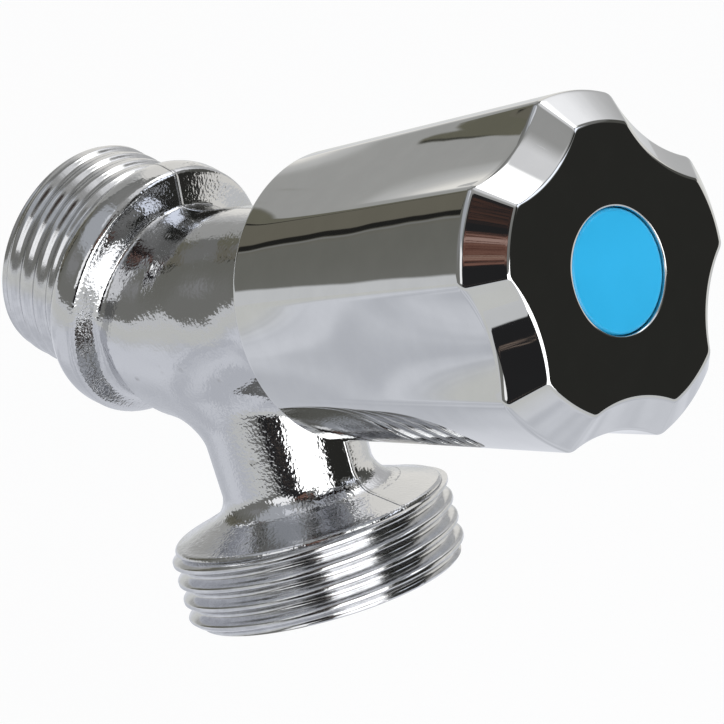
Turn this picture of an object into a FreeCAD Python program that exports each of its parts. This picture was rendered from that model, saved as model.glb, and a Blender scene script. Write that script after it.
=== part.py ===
import FreeCAD, Part
import math
import os

# Washing machine valve: a half inch wall inlet, a head that leans up out of the wall and a
# three quarter inch hose outlet square to that head. Millimetres. +X runs out of the wall along
# the inlet, +Z is up, and the origin is on the inlet axis at the collar's wall side.

# Threads (pipe threads at their major diameter)
INLET_THREAD_D = 20.955
INLET_THREAD_LENGTH = 7.0
OUTLET_THREAD_D = 26.441
OUTLET_THREAD_LENGTH = 7.0
HEAD_THREAD_D = 16.66
HEAD_THREAD_LENGTH = 5.8
INLET_CHAMFER = 0.35
OUTLET_CHAMFER = 0.9
THREAD_CLEARANCE = 0.05

# Casting
HEAD_TILT = 25.6
HEAD_CROSSING = 9.1
OUTLET_OFFSET = 7.0
OUTLET_REACH = 27.6
COLLAR_WIDTH = 5.9
COLLAR_D = 24.4
COLLAR_EDGE_D = 21.6
COLLAR_SHOULDER_D = 19.8
COLLAR_CROWN = 3.1
COLLAR_ROUND = 1.2
COLLAR_SWELL = 0.26
WAIST_D = 17.9
WAIST_LENGTH = 3.1
TUBE_D = 18.0
TUBE_DROP = 1.0
TUBE_LENGTH = 14.0
BULB_D = 17.8
BULB_DROP = 1.5
BOSS_ROOT = -9.5
BOSS_ROOT_D = 18.4
BOSS_D = 16.9
BOSS_END_D = 20.8
BOSS_REACH = 16.0
BOSS_TAPER = 1.2
NECK_D = 14.7
NECK_END_D = 14.2
NECK_FILLET = 1.6
NECK_ROOT_FILLET = 2.0
SHOULDER_EDGE_D = 25.5
SHOULDER_DROP = 2.3
INLET_BORE_D = 14.0
INLET_BORE_DEPTH = 11.7
DRILL_POINT = 118.0
NECK_BORE_D = 9.4
OUTLET_MOUTH_D = 19.0
OUTLET_MOUTH_DEPTH = 5.0
OUTLET_MOUTH_CONE = 45.0

# Seat and chamber
CHAMBER_D = 12.8
PORT_D = 8.0
SEAT_DROP = 4.2
SEAT_HEIGHT = 1.0
SEAT_RING_D = 10.0
SEAT_TAPER = 0.4
PORT_DEPTH = 6.5

# Plunger with its rubber washer
LIFT = 4.0
CLOSED_GAP = 0.05
WASHER_D = 10.6
WASHER_T = 2.4
CUP_D = 11.8
CUP_DEPTH = 1.0
CONE_FLANGE_T = 1.6
CONE_STEM_D = 9.0
PISTON_D = 10.9
PISTON_LENGTH = 2.6
CONE_HEX = 9.2
CONE_HEX_LENGTH = 6.5
DRIVE_THREAD_D = 7.0
DRIVE_OVERLAP = 7.2
PLATE_D = 6.8
PLATE_T = 0.6
WASHER_SCREW_D = 4.0
WASHER_SCREW_HEAD_D = 5.8
WASHER_SCREW_HEAD_T = 1.5
WASHER_SCREW_GRIP = 5.0

# Bonnet and spindle
SEAL_T = 1.2
FLANGE_D = 20.4
FLANGE_T = 1.5
BONNET_HEX = 17.6
BONNET_HEX_LENGTH = 5.8
SLEEVE_D = 14.0
SPINDLE_D = 7.8
SPINDLE_COLLAR_D = 9.2
SPINDLE_COLLAR_T = 1.4
THRUST_T = 0.5
RING_SECTION = 0.9
RING_GROOVE_W = 1.2
RING_SPACING = 1.9
RING_INSET = 1.1
CIRCLIP_D = 10.0
CIRCLIP_T = 0.8
CIRCLIP_GROOVE_D = 6.4
CIRCLIP_GAP_DEG = 50.0
SPLINE_D = 7.5
SPLINE_DEPTH = 0.35
SPLINE_TEETH = 20
SPLINE_LENGTH = 6.4
RUNNING_CLEARANCE = 0.05
LOOSE_CLEARANCE = 0.3

# Handle
HANDLE_GAP = 13.74
HANDLE_LENGTH = 34.35
HANDLE_BACK_D = 25.9
LOBES = 5
LOBE_PHASE = 24.7
LOBE_D = 30.4
VALLEY_DEPTH = 2.0
LOBE_HALF_ANGLE = 16.0
LOBE_ROUND = 1.2
CHAMFER_INSET = 2.9
FACE_VALLEY_DEPTH = 1.8
FACE_HALF_ANGLE = 14.0
FACE_ROUND = 0.8
CHAMFER_DEPTH = 2.87
FACE_FILLET = 0.45
HANDLE_WALL = 1.4
FACE_T = 5.0
HUB_D = 12.6
HUB_GAP = 0.5
WEB_T = 1.5
DISC_D = 10.56
DISC_RECESS = 1.3
DISC_SINK = 0.15
DISC_SPIGOT_LENGTH = 1.5
DISC_SPIGOT_WALL = 0.9
WELL_D = 8.2
HANDLE_SCREW_D = 4.0
HANDLE_SCREW_HEAD_D = 7.2
HANDLE_SCREW_HEAD_T = 2.0
HANDLE_SCREW_LENGTH = 9.0
HANDLE_SCREW_ROOM = 0.4
SCREW_HOLE_SPARE = 1.5
DRIVER_SLOT_W = 0.9
DRIVER_SLOT_DEPTH = 0.8
EDGE_BREAK = 0.3
FIT_CLEARANCE = 0.05
THROUGH = 2.0
LEVEL_MARGIN = 0.01

# Places along the head axis, counted from the point where the outlet axis leaves it
SEAT = -SEAT_DROP
CHAMBER_FLOOR = SEAT - SEAT_HEIGHT
WASHER_LOW = SEAT + CLOSED_GAP
WASHER_TOP = WASHER_LOW + WASHER_T
BONNET_LOW = BOSS_REACH - HEAD_THREAD_LENGTH
PISTON_LOW = BONNET_LOW + LOOSE_CLEARANCE
PISTON_TOP = PISTON_LOW + PISTON_LENGTH
PISTON_RING = (PISTON_LOW + PISTON_TOP) / 2
CONE_TOP = PISTON_TOP + CONE_HEX_LENGTH
HEX_LOW = PISTON_TOP + LIFT + LOOSE_CLEARANCE
COLLAR_LOW = CONE_TOP + LIFT + LOOSE_CLEARANCE
COLLAR_TOP = COLLAR_LOW + SPINDLE_COLLAR_T
THRUST_TOP = COLLAR_TOP + THRUST_T
DRIVE_LOW = CONE_TOP - DRIVE_OVERLAP
CONE_BORE_LOW = DRIVE_LOW - LIFT - LOOSE_CLEARANCE
FLANGE_LOW = BOSS_REACH + SEAL_T
FLANGE_TOP = FLANGE_LOW + FLANGE_T
BONNET_HEX_TOP = FLANGE_TOP + BONNET_HEX_LENGTH
HANDLE_BACK = HANDLE_GAP
FACE = HANDLE_BACK + HANDLE_LENGTH
EDGE = FACE - CHAMFER_DEPTH
CAVITY_FRONT = FACE - FACE_T
DISC_FLOOR = FACE - DISC_RECESS
SPIGOT_LOW = DISC_FLOOR - DISC_SPIGOT_LENGTH
WEB_TOP = SPIGOT_LOW - HANDLE_SCREW_ROOM - HANDLE_SCREW_HEAD_T
SPLINE_TOP = WEB_TOP - WEB_T
HUB_LOW = SPLINE_TOP - SPLINE_LENGTH
CIRCLIP_TOP = HUB_LOW - HUB_GAP
CIRCLIP_LOW = CIRCLIP_TOP - CIRCLIP_T
SLEEVE_TOP = CIRCLIP_LOW - EDGE_BREAK
RING_CENTRES = [THRUST_TOP + RING_INSET, THRUST_TOP + RING_INSET + RING_SPACING]
RING_ROOT_R = SPINDLE_D / 2 - RING_SECTION

TILT = math.radians(HEAD_TILT)
JUNCTION = FreeCAD.Vector(HEAD_CROSSING + OUTLET_OFFSET * math.cos(TILT), 0,
                          OUTLET_OFFSET * math.sin(TILT))
ORIGIN = FreeCAD.Vector(0, 0, 0)
UP = FreeCAD.Vector(0, 0, 1)
ACROSS = FreeCAD.Vector(0, 1, 0)
INLET_PLACE = FreeCAD.Placement(ORIGIN, FreeCAD.Rotation(ACROSS, 90))
TUBE_PLACE = FreeCAD.Placement(FreeCAD.Vector(0, 0, -TUBE_DROP), FreeCAD.Rotation(ACROSS, 90))
HEAD_PLACE = FreeCAD.Placement(JUNCTION, FreeCAD.Rotation(ACROSS, 90 - HEAD_TILT))
OUTLET_PLACE = FreeCAD.Placement(JUNCTION, FreeCAD.Rotation(ACROSS, 180 - HEAD_TILT))


def at(radius, height):
    return FreeCAD.Vector(radius, 0, height)


def spot(radius, angle, height):
    return FreeCAD.Vector(radius * math.cos(angle), radius * math.sin(angle), height)


def turned(*steps):
    """A solid turned about Z. A step is (radius, height), or two of them for an arc through the first."""
    points = [step if not isinstance(step[0], tuple) else step[1] for step in steps]
    edges = []
    for last, step in zip(points, steps[1:]):
        if isinstance(step[0], tuple):
            edges.append(Part.Arc(at(*last), at(*step[0]), at(*step[1])).toShape())
        else:
            edges.append(Part.LineSegment(at(*last), at(*step)).toShape())
    edges.append(Part.LineSegment(at(*points[-1]), at(*points[0])).toShape())
    return Part.Face(Part.Wire(edges)).revolve(ORIGIN, UP, 360)


def swelled(first, second, rise):
    """The middle of an arc that swells out of the chord between two outline points."""
    along = at(*second) - at(*first)
    along.normalize()
    return ((first[0] + second[0]) / 2 + along.z * rise, (first[1] + second[1]) / 2 - along.x * rise)


def rod(diameter, low, high):
    return Part.makeCylinder(diameter / 2, high - low, at(0, low))


def ring(outer, inner, low, high):
    return rod(outer, low, high).cut(rod(inner, low - THROUGH, high + THROUGH))


def hexagon(across_flats, low, high):
    corner = across_flats / math.sqrt(3)
    points = [spot(corner, math.radians(60 * k), low) for k in range(7)]
    return Part.Face(Part.makePolygon(points)).extrude(at(0, high - low))


def splined(diameter, depth, low, high):
    points = []
    for k in range(2 * SPLINE_TEETH + 1):
        radius = diameter / 2 - depth * (k % 2)
        angle = math.pi * k / SPLINE_TEETH
        points.append(spot(radius, angle, low))
    return Part.Face(Part.makePolygon(points)).extrude(at(0, high - low))


def lobed_corners(lobe_r, valley_r, half_angle, corner_r):
    """Angles and radii of the tangent points of one lobe's rounded corner, from the valley's middle."""
    spread = math.pi / LOBES - math.radians(half_angle)
    chord = lobe_r * math.sin(spread)
    sag = lobe_r * math.cos(spread) - valley_r
    valley_round = (chord ** 2 + sag ** 2) / (2 * sag)
    valley_centre = valley_r + valley_round
    reach = lobe_r - corner_r
    apart = valley_round + corner_r
    on_lobe = math.acos((reach ** 2 + valley_centre ** 2 - apart ** 2) / (2 * reach * valley_centre))
    centre = FreeCAD.Vector(reach * math.cos(on_lobe), reach * math.sin(on_lobe), 0)
    inward = FreeCAD.Vector(valley_centre, 0, 0) - centre
    inward.normalize()
    on_valley = centre + inward * corner_r
    outward = FreeCAD.Vector(math.cos(on_lobe), math.sin(on_lobe), 0) + inward
    outward.normalize()
    middle = centre + outward * corner_r
    places = [(math.atan2(point.y, point.x), point.Length) for point in (on_valley, middle)]
    return on_lobe, places[0], places[1]


def lobed_wire(lobe_r, valley_depth, half_angle, corner_r, height):
    """Convex lobes joined by concave valleys, with rounded corners: four arcs a lobe."""
    valley_r = lobe_r - valley_depth
    on_lobe, on_valley, middle = lobed_corners(lobe_r, valley_r, half_angle, corner_r)
    edges = []
    for k in range(LOBES):
        lobe = math.radians(LOBE_PHASE) + 2 * math.pi * k / LOBES
        valley = lobe + math.pi / LOBES
        back = valley - 2 * math.pi / LOBES
        stops = [spot(lobe_r, back + on_lobe, height), spot(lobe_r, lobe, height),
                 spot(lobe_r, valley - on_lobe, height), spot(middle[1], valley - middle[0], height),
                 spot(on_valley[1], valley - on_valley[0], height), spot(valley_r, valley, height),
                 spot(on_valley[1], valley + on_valley[0], height),
                 spot(middle[1], valley + middle[0], height), spot(lobe_r, valley + on_lobe, height)]
        edges += [Part.Arc(*stops[i:i + 3]).toShape() for i in range(0, 8, 2)]
    return Part.Wire(edges)


def round_wire(diameter, like, height):
    """A circle cut into arcs at the angles where a lobed wire's arcs meet."""
    starts = [edge.firstVertex().Point for edge in like.OrderedEdges]
    angles = [math.atan2(start.y, start.x) for start in starts]
    edges = []
    for first, second in zip(angles, angles[1:] + angles[:1]):
        sweep = (second - first) % (2 * math.pi)
        stops = [spot(diameter / 2, first + sweep * share, height) for share in (0, 0.5, 1)]
        edges.append(Part.Arc(*stops).toShape())
    return Part.Wire(edges)


def screw(diameter, head_d, head_t, low, seat):
    """A pan head screw with its head resting on the level seat, and a straight driver slot."""
    shank_r, head_r = diameter / 2, head_d / 2
    top = seat + head_t
    rounding = head_t / 2
    cut_in = rounding * (1 - math.sqrt(0.5))
    body = turned((0, low), (shank_r - EDGE_BREAK, low), (shank_r, low + EDGE_BREAK), (shank_r, seat),
                  (head_r, seat), (head_r, top - rounding),
                  ((head_r - cut_in, top - cut_in), (head_r - rounding, top)), (0, top))
    slot = Part.makeBox(head_d + THROUGH, DRIVER_SLOT_W, DRIVER_SLOT_DEPTH + THROUGH)
    slot.translate(FreeCAD.Vector(-(head_d + THROUGH) / 2, -DRIVER_SLOT_W / 2, top - DRIVER_SLOT_DEPTH))
    return body.cut(slot)


def placed(shape, place):
    shape.Placement = place.multiply(shape.Placement)
    return shape


def inlet_stem():
    """Thread, collar and waist of the casting, turned about the inlet axis."""
    thread_r = INLET_THREAD_D / 2
    collar_r = COLLAR_D / 2
    shoulder_r = COLLAR_SHOULDER_D / 2
    waist_r = WAIST_D / 2
    round_start = (collar_r - COLLAR_ROUND / 2, COLLAR_WIDTH - COLLAR_ROUND)
    shoulder = (shoulder_r, COLLAR_WIDTH)
    waist_end = COLLAR_WIDTH + WAIST_LENGTH
    fillet = shoulder_r - waist_r
    diagonal = math.sqrt(0.5)
    return turned(
        (0, -INLET_THREAD_LENGTH), (thread_r - INLET_CHAMFER, -INLET_THREAD_LENGTH),
        (thread_r, -INLET_THREAD_LENGTH + INLET_CHAMFER), (thread_r, 0), (COLLAR_EDGE_D / 2, 0),
        ((collar_r, COLLAR_CROWN), round_start),
        (swelled(round_start, shoulder, COLLAR_SWELL), shoulder),
        ((shoulder_r - fillet * diagonal, COLLAR_WIDTH + fillet * (1 - diagonal)),
         (waist_r, COLLAR_WIDTH + fillet)),
        (waist_r, waist_end), (0, waist_end))


def lower_tube():
    """Tube that leads from the collar to the outlet, a little below the inlet axis, with a round end."""
    tube_r = TUBE_D / 2
    diagonal = math.sqrt(0.5)
    return turned((0, COLLAR_CROWN), (tube_r, COLLAR_CROWN), (tube_r, TUBE_LENGTH),
                  ((tube_r * diagonal, TUBE_LENGTH + tube_r * diagonal), (0, TUBE_LENGTH + tube_r)))


def head_boss():
    """Barrel from the collar to the bonnet, turned about the head axis, wider where the handle hides it."""
    taper_low = BONNET_LOW - BOSS_TAPER
    end_r = BOSS_END_D / 2
    return turned((0, BOSS_ROOT), (BOSS_ROOT_D / 2, BOSS_ROOT), (BOSS_D / 2, taper_low), (end_r, BONNET_LOW),
                  (end_r, BOSS_REACH - EDGE_BREAK), (end_r - EDGE_BREAK, BOSS_REACH), (0, BOSS_REACH))


def outlet_stem():
    """Bulb, neck, conical shoulder and hose thread, turned about the outlet axis."""
    neck_r = NECK_D / 2
    end_r = NECK_END_D / 2
    bulb_r = BULB_D / 2
    root_r = neck_r + NECK_ROOT_FILLET
    root_rise = math.sqrt((bulb_r + NECK_ROOT_FILLET) ** 2 - root_r ** 2)
    root_turn = math.atan2(root_rise, root_r)
    root = BULB_DROP + root_rise
    on_bulb = (bulb_r * math.cos(root_turn), BULB_DROP + bulb_r * math.sin(root_turn))
    root_mid = (root_r - NECK_ROOT_FILLET * math.cos(root_turn / 2),
                root - NECK_ROOT_FILLET * math.sin(root_turn / 2))
    thread_r = OUTLET_THREAD_D / 2
    edge_r = SHOULDER_EDGE_D / 2
    thread_top = OUTLET_REACH - OUTLET_THREAD_LENGTH
    edge = thread_top - (thread_r - edge_r)
    cone_top = edge - SHOULDER_DROP
    slope = SHOULDER_DROP / (edge_r - end_r)
    diagonal = math.sqrt(0.5)
    return turned(
        (0, BULB_DROP - bulb_r), ((bulb_r, BULB_DROP), on_bulb), (root_mid, (neck_r, root)),
        (end_r, cone_top - NECK_FILLET),
        ((end_r + NECK_FILLET * (1 - diagonal), cone_top - NECK_FILLET * (1 - diagonal)),
         (end_r + NECK_FILLET, cone_top + slope * NECK_FILLET)),
        (edge_r, edge), (thread_r, thread_top), (thread_r, OUTLET_REACH - OUTLET_CHAMFER),
        (thread_r - OUTLET_CHAMFER, OUTLET_REACH), (0, OUTLET_REACH))


def body_bores():
    """Waterways: drilled inlet bore, port that meets its point, valve chamber with its seat, and outlet."""
    inlet_r = INLET_BORE_D / 2
    inlet_low = -INLET_THREAD_LENGTH
    inlet_end = inlet_low + INLET_BORE_DEPTH
    point = inlet_r / math.tan(math.radians(DRILL_POINT / 2))
    inlet = placed(turned((0, inlet_low - THROUGH), (inlet_r, inlet_low - THROUGH), (inlet_r, inlet_end),
                          (0, inlet_end + point)), INLET_PLACE)
    port = placed(rod(PORT_D, SEAT - PORT_DEPTH, SEAT + THROUGH), HEAD_PLACE)
    thread_r = HEAD_THREAD_D / 2 + THREAD_CLEARANCE
    chamber = placed(turned(
        (0, SEAT), (SEAT_RING_D / 2, SEAT), (SEAT_RING_D / 2 + SEAT_TAPER, CHAMBER_FLOOR),
        (CHAMBER_D / 2, CHAMBER_FLOOR), (CHAMBER_D / 2, BONNET_LOW), (thread_r, BONNET_LOW),
        (thread_r, BOSS_REACH - EDGE_BREAK),
        (thread_r + EDGE_BREAK, BOSS_REACH), (thread_r + EDGE_BREAK, BOSS_REACH + THROUGH),
        (0, BOSS_REACH + THROUGH)), HEAD_PLACE)
    mouth_r = OUTLET_MOUTH_D / 2
    bore_r = NECK_BORE_D / 2
    mouth_low = OUTLET_REACH - OUTLET_MOUTH_DEPTH
    cone_low = mouth_low - (mouth_r - bore_r) / math.tan(math.radians(OUTLET_MOUTH_CONE))
    start = SEAT_RING_D / 2 + SEAT_TAPER + FIT_CLEARANCE
    outlet = placed(turned((0, start), (bore_r, start), (bore_r, cone_low), (mouth_r, mouth_low),
                           (mouth_r, OUTLET_REACH + THROUGH), (0, OUTLET_REACH + THROUGH)), OUTLET_PLACE)
    return [inlet, port, chamber, outlet]


def valve_body():
    casting = placed(inlet_stem(), INLET_PLACE)
    casting = casting.multiFuse([placed(lower_tube(), TUBE_PLACE), placed(head_boss(), HEAD_PLACE),
                                 placed(outlet_stem(), OUTLET_PLACE)])
    for bore in body_bores():
        casting = casting.cut(bore)
    return casting


def bonnet():
    thread_r = HEAD_THREAD_D / 2
    flange_r, sleeve_r = FLANGE_D / 2, SLEEVE_D / 2
    outside = turned(
        (0, BONNET_LOW), (thread_r - EDGE_BREAK, BONNET_LOW), (thread_r, BONNET_LOW + EDGE_BREAK),
        (thread_r, FLANGE_LOW), (flange_r, FLANGE_LOW), (flange_r, FLANGE_TOP), (0, FLANGE_TOP))
    outside = outside.fuse(hexagon(BONNET_HEX, FLANGE_TOP, BONNET_HEX_TOP))
    outside = outside.fuse(turned(
        (0, FLANGE_TOP), (sleeve_r, FLANGE_TOP), (sleeve_r, SLEEVE_TOP - EDGE_BREAK),
        (sleeve_r - EDGE_BREAK, SLEEVE_TOP), (0, SLEEVE_TOP)))
    piston_bore = rod(PISTON_D + 2 * RUNNING_CLEARANCE, BONNET_LOW - THROUGH, HEX_LOW)
    hex_socket = hexagon(CONE_HEX + 4 * RUNNING_CLEARANCE, BONNET_LOW, COLLAR_LOW)
    collar_room = rod(SPINDLE_COLLAR_D + 2 * RUNNING_CLEARANCE, COLLAR_LOW - THROUGH / 2, THRUST_TOP)
    spindle_bore = rod(SPINDLE_D + 2 * RUNNING_CLEARANCE, THRUST_TOP - THROUGH, SLEEVE_TOP + THROUGH)
    return outside.cut(piston_bore).cut(hex_socket).cut(collar_room).cut(spindle_bore).removeSplitter()


def bonnet_seal():
    return ring(FLANGE_D, HEAD_THREAD_D + 2 * LOOSE_CLEARANCE, BOSS_REACH, FLANGE_LOW)


def spindle():
    shaft_r = SPINDLE_D / 2
    drive_r = DRIVE_THREAD_D / 2
    collar_r = SPINDLE_COLLAR_D / 2
    half_groove = RING_GROOVE_W / 2
    shaft = turned(
        (0, DRIVE_LOW), (drive_r - EDGE_BREAK, DRIVE_LOW), (drive_r, DRIVE_LOW + EDGE_BREAK),
        (drive_r, COLLAR_LOW), (collar_r, COLLAR_LOW), (collar_r, COLLAR_TOP), (shaft_r, COLLAR_TOP),
        (shaft_r, HUB_LOW), (0, HUB_LOW))
    for centre in RING_CENTRES:
        groove = ring(SPINDLE_D + THROUGH, 2 * RING_ROOT_R, centre - half_groove, centre + half_groove)
        shaft = shaft.cut(groove)
    shaft = shaft.cut(ring(SPINDLE_D + THROUGH, CIRCLIP_GROOVE_D, CIRCLIP_LOW, CIRCLIP_TOP))
    shaft = shaft.fuse(splined(SPLINE_D, SPLINE_DEPTH, HUB_LOW, SPLINE_TOP))
    tapped_low = WEB_TOP - HANDLE_SCREW_LENGTH - SCREW_HOLE_SPARE
    return shaft.cut(rod(HANDLE_SCREW_D + 2 * FIT_CLEARANCE, tapped_low, SPLINE_TOP + THROUGH))


def o_ring(inner_r, section, centre):
    return Part.makeTorus(inner_r + section / 2, section / 2, at(0, centre))


def thrust_washer():
    return ring(SPINDLE_COLLAR_D, SPINDLE_D + 2 * FIT_CLEARANCE, COLLAR_TOP, THRUST_TOP - FIT_CLEARANCE)


def spindle_circlip():
    clip = ring(CIRCLIP_D, CIRCLIP_GROOVE_D + 2 * FIT_CLEARANCE,
                CIRCLIP_LOW + FIT_CLEARANCE, CIRCLIP_TOP - FIT_CLEARANCE)
    half = math.radians(CIRCLIP_GAP_DEG / 2)
    corners = [spot(0, 0, 0), spot(CIRCLIP_D, -half, 0), spot(CIRCLIP_D, half, 0), spot(0, 0, 0)]
    mouth = Part.Face(Part.makePolygon(corners)).extrude(at(0, SLEEVE_TOP + FACE))
    return clip.cut(mouth)


def valve_cone():
    stem_r = CONE_STEM_D / 2
    cup_r = CUP_D / 2
    piston_r = PISTON_D / 2
    cup_low = WASHER_TOP - CUP_DEPTH
    flange_top = WASHER_TOP + CONE_FLANGE_T
    body = turned((0, cup_low), (cup_r, cup_low), (cup_r, flange_top - (cup_r - stem_r) / 2),
                  (stem_r, flange_top), (stem_r, PISTON_LOW), (piston_r, PISTON_LOW), (piston_r, PISTON_TOP),
                  (0, PISTON_TOP))
    body = body.fuse(hexagon(CONE_HEX, PISTON_TOP, CONE_TOP))
    cup = rod(WASHER_D + 2 * FIT_CLEARANCE, cup_low - THROUGH, WASHER_TOP)
    drive = rod(DRIVE_THREAD_D + 2 * RUNNING_CLEARANCE, CONE_BORE_LOW, CONE_TOP + THROUGH)
    groove = ring(PISTON_D + THROUGH, PISTON_D - 2 * RING_SECTION,
                  PISTON_RING - RING_GROOVE_W / 2, PISTON_RING + RING_GROOVE_W / 2)
    tapped_top = WASHER_TOP + WASHER_SCREW_GRIP + SCREW_HOLE_SPARE
    tapped = rod(WASHER_SCREW_D + 2 * FIT_CLEARANCE, WASHER_TOP - THROUGH, tapped_top)
    return body.cut(cup).cut(drive).cut(groove).cut(tapped).removeSplitter()


def seat_washer():
    return ring(WASHER_D, WASHER_SCREW_D + 2 * FIT_CLEARANCE, WASHER_LOW, WASHER_TOP)


def washer_plate():
    return ring(PLATE_D, WASHER_SCREW_D + 2 * FIT_CLEARANCE, WASHER_LOW - PLATE_T, WASHER_LOW)


def washer_screw():
    """Put in from the seat's side, so it is made upright and turned over."""
    seat = -(WASHER_LOW - PLATE_T)
    low = -(WASHER_TOP + WASHER_SCREW_GRIP)
    upright = screw(WASHER_SCREW_D, WASHER_SCREW_HEAD_D, WASHER_SCREW_HEAD_T, low, seat)
    return placed(upright, FreeCAD.Placement(ORIGIN, FreeCAD.Rotation(ACROSS, 180)))


def level_edges(shape, height):
    """Edges that lie wholly at one height."""
    low, high = height - LEVEL_MARGIN, height + LEVEL_MARGIN
    return [edge for edge in shape.Edges if edge.BoundBox.ZMin > low and edge.BoundBox.ZMax < high]


def handle():
    lobe_r = LOBE_D / 2
    edge = lobed_wire(lobe_r, VALLEY_DEPTH, LOBE_HALF_ANGLE, LOBE_ROUND, EDGE)
    face = lobed_wire(lobe_r - CHAMFER_INSET, FACE_VALLEY_DEPTH, FACE_HALF_ANGLE, FACE_ROUND, FACE)
    skirt = Part.makeLoft([round_wire(HANDLE_BACK_D, edge, HANDLE_BACK), edge], True, True)
    front = Part.makeLoft([edge, face], True, True)
    shell = skirt.fuse(front).removeSplitter()
    shell = shell.makeFillet(FACE_FILLET, level_edges(shell, FACE))
    inner_edge = lobed_wire(lobe_r - HANDLE_WALL, VALLEY_DEPTH, LOBE_HALF_ANGLE, LOBE_ROUND, CAVITY_FRONT)
    inner_back = round_wire(HANDLE_BACK_D - 2 * HANDLE_WALL, inner_edge, HANDLE_BACK)
    shell = shell.cut(Part.makeLoft([inner_back, inner_edge], True, True))
    hub = rod(HUB_D, HUB_LOW, CAVITY_FRONT + THROUGH / 2)
    shell = shell.fuse(hub).removeSplitter()
    shell = shell.cut(splined(SPLINE_D + 2 * FIT_CLEARANCE, SPLINE_DEPTH, HUB_LOW - THROUGH, SPLINE_TOP))
    shell = shell.cut(rod(HANDLE_SCREW_D + 2 * LOOSE_CLEARANCE, SPLINE_TOP - THROUGH, WEB_TOP + THROUGH))
    shell = shell.cut(rod(WELL_D, WEB_TOP, FACE + THROUGH))
    return shell.cut(rod(DISC_D + 2 * FIT_CLEARANCE, DISC_FLOOR, FACE + THROUGH))


def handle_screw():
    low = WEB_TOP - HANDLE_SCREW_LENGTH
    return screw(HANDLE_SCREW_D, HANDLE_SCREW_HEAD_D, HANDLE_SCREW_HEAD_T, low, WEB_TOP)


def index_disc():
    radius = DISC_D / 2
    spigot_r = WELL_D / 2 - FIT_CLEARANCE
    top = FACE - DISC_SINK
    cap = turned((0, DISC_FLOOR), (radius, DISC_FLOOR), (radius, top - EDGE_BREAK),
                 (radius - EDGE_BREAK, top), (0, top))
    spigot = ring(2 * spigot_r, 2 * (spigot_r - DISC_SPIGOT_WALL), SPIGOT_LOW, DISC_FLOOR + DISC_SINK)
    return cap.fuse(spigot).removeSplitter()


HEAD_PIECES = {
    "bonnet": bonnet(),
    "bonnet_seal": bonnet_seal(),
    "spindle": spindle(),
    "spindle_o_ring_inner": o_ring(RING_ROOT_R + FIT_CLEARANCE / 2, RING_SECTION, RING_CENTRES[0]),
    "spindle_o_ring_outer": o_ring(RING_ROOT_R + FIT_CLEARANCE / 2, RING_SECTION, RING_CENTRES[1]),
    "thrust_washer": thrust_washer(),
    "spindle_circlip": spindle_circlip(),
    "valve_cone": valve_cone(),
    "cone_o_ring": o_ring(PISTON_D / 2 - RING_SECTION + FIT_CLEARANCE / 2, RING_SECTION, PISTON_RING),
    "seat_washer": seat_washer(),
    "washer_plate": washer_plate(),
    "washer_screw": washer_screw(),
    "handle": handle(),
    "handle_screw": handle_screw(),
    "index_disc": index_disc(),
}

os.makedirs("parts", exist_ok=True)
valve_body().exportStep("parts/valve_body.step")
for name, shape in HEAD_PIECES.items():
    placed(shape, HEAD_PLACE).exportStep("parts/" + name + ".step")
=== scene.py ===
import math

import bpy
import numpy as np
from mathutils import Matrix


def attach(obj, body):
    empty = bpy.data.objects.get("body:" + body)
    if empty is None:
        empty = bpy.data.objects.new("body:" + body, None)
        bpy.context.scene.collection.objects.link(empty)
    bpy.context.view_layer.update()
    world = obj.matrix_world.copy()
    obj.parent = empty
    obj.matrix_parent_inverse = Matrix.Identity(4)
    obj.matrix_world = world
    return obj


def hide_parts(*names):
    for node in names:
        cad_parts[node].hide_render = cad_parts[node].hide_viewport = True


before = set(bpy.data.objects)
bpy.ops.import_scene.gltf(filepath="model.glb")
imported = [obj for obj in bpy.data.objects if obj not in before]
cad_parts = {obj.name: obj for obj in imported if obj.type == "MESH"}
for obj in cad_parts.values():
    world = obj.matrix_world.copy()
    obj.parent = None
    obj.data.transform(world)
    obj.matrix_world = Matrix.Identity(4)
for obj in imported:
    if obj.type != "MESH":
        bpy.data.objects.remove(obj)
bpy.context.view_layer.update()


# Valve body: one brass casting with the inlet stem, the head boss and the outlet foot, bored and
# threaded after casting and then chrome plated, so the cast skin's ripple shows in the plating.
# Sizes are in millimetres, as on the drawing, and turn into metres when the mesh is made.
head_tilt = math.radians(25.6)
inlet_way = np.array((1.0, 0.0, 0.0))
head_way = np.array((math.cos(head_tilt), 0.0, math.sin(head_tilt)))
outlet_way = np.array((math.sin(head_tilt), 0.0, -math.cos(head_tilt)))
wall_face = np.zeros(3)
junction = np.array((9.1, 0.0, 0.0)) + 7.0 * head_way
tube_start = np.array((0.0, 0.0, -1.0))


def arc(start, through, end, count=10):
    """Points on the arc from start through a middle point to the end, the start left out."""
    a, b, c = (complex(*p) for p in (start, through, end))
    w = (c - a) / (b - a)
    centre = a + (b - a) * (w - abs(w) ** 2) / (2j * w.imag)
    first, last = a - centre, c - centre
    turn = np.angle(last / first)
    if np.angle((b - centre) / first) * turn < 0 or abs(np.angle((b - centre) / first)) > abs(turn):
        turn -= math.copysign(2 * math.pi, turn)
    spots = [centre + first * np.exp(1j * turn * k / count) for k in range(1, count + 1)]
    return [(spot.real, spot.imag) for spot in spots]


def about(points, start, way):
    """Radius from an axis and height along it, for points in space."""
    offset = points - start.astype(points.dtype)
    height = offset @ way.astype(points.dtype)
    radius = np.sqrt(np.maximum((offset * offset).sum(-1) - height * height, 0))
    return radius, height


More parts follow.
